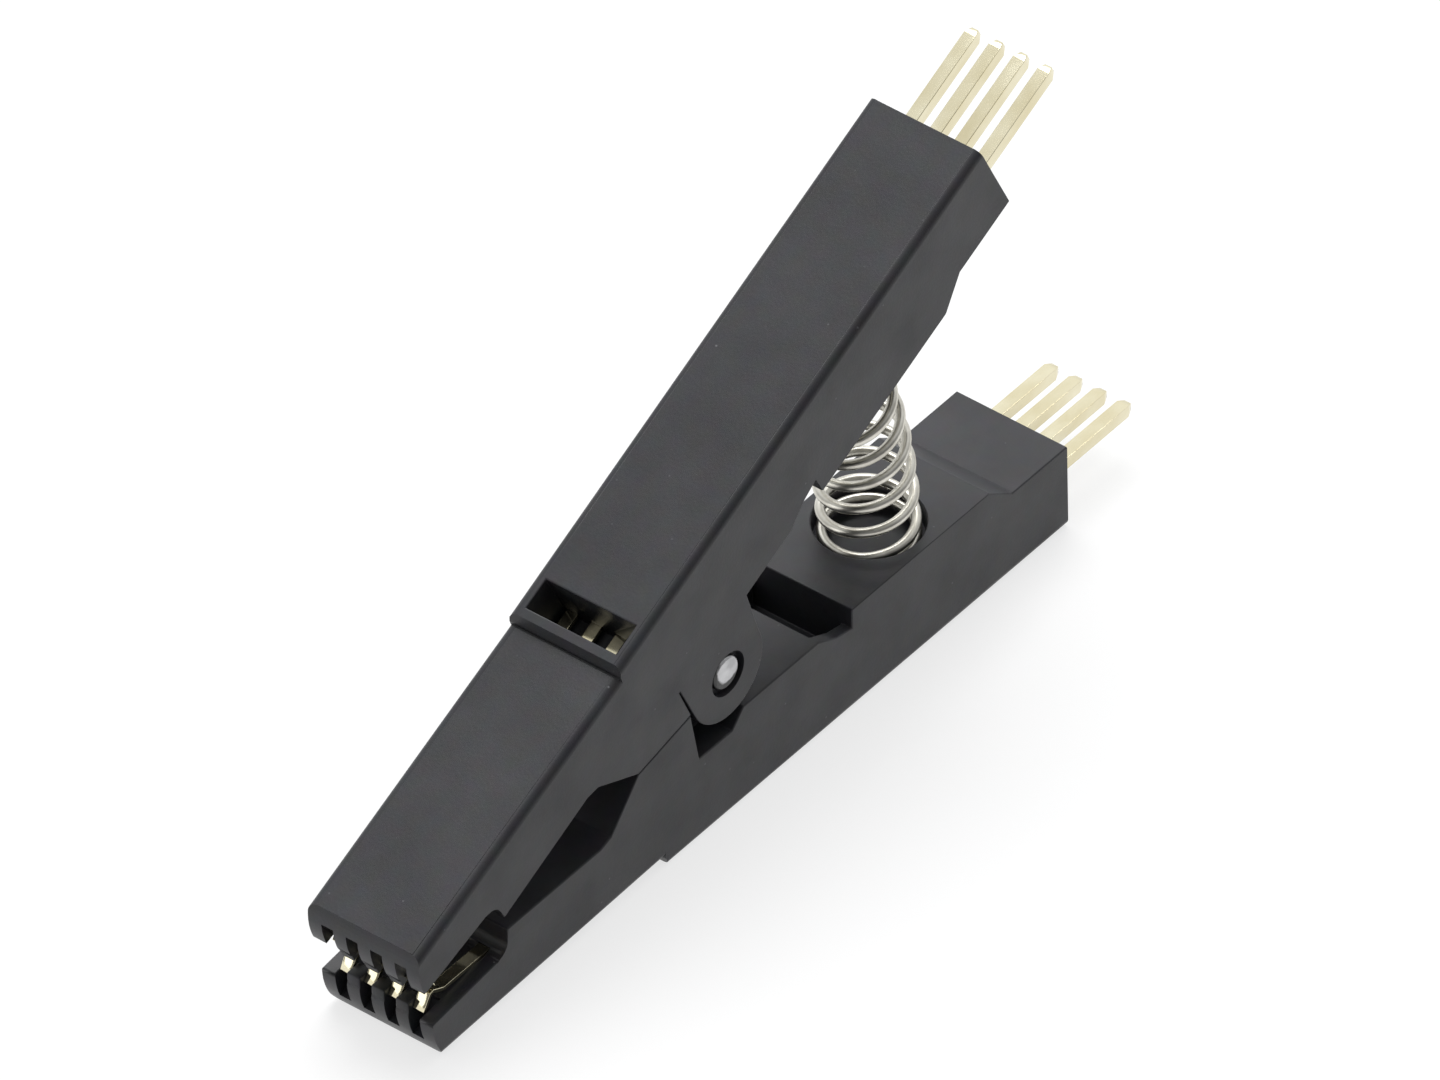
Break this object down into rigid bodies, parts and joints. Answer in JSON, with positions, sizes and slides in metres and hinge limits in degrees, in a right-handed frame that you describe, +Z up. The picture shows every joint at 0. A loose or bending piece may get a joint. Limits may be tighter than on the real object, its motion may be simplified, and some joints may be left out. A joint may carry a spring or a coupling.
{
  "type": "ic test clip",
  "caption": "Hinged two-jaw test clip with interleaved knuckles, a coil spring, crested contact tips at the nose and square header pins at the rear.",
  "frame": {"origin": "on the lower jaw's outer face, straight below the hinge axis, on the clip's centre plane", "axes": "+X along the lower jaw towards its header pins, +Y along the hinge pin, +Z up away from the lower jaw's outer face"},
  "size_m": [0.0479, 0.0058, 0.0243],
  "materials": {
    "moulding": "satin black glass-filled plastic",
    "contact": "pale gold plating",
    "pin_steel": "ground steel",
    "spring_wire": "bright drawn spring wire"
  },
  "bodies": {
    "lower_half": {"lower_jaw": "moulding", "pivot_pin": "pin_steel", "coil_spring": "spring_wire", "lower_contact_1": "contact", "lower_contact_2": "contact", "lower_contact_3": "contact", "lower_contact_4": "contact"},
    "upper_half": {"upper_jaw": "moulding", "upper_contact_1": "contact", "upper_contact_2": "contact", "upper_contact_3": "contact", "upper_contact_4": "contact"}
  },
  "joints": [
    {"name": "squeeze", "type": "hinge", "parent": "lower_half", "child": "upper_half", "pos_m": [0, 0, 0.0076], "axis": [0, 1, 0], "range_deg": [0, 20], "stiffness_Nm_per_rad": 0.1, "springref_deg": -11.46, "deforming": ["coil_spring"]}
  ]
}
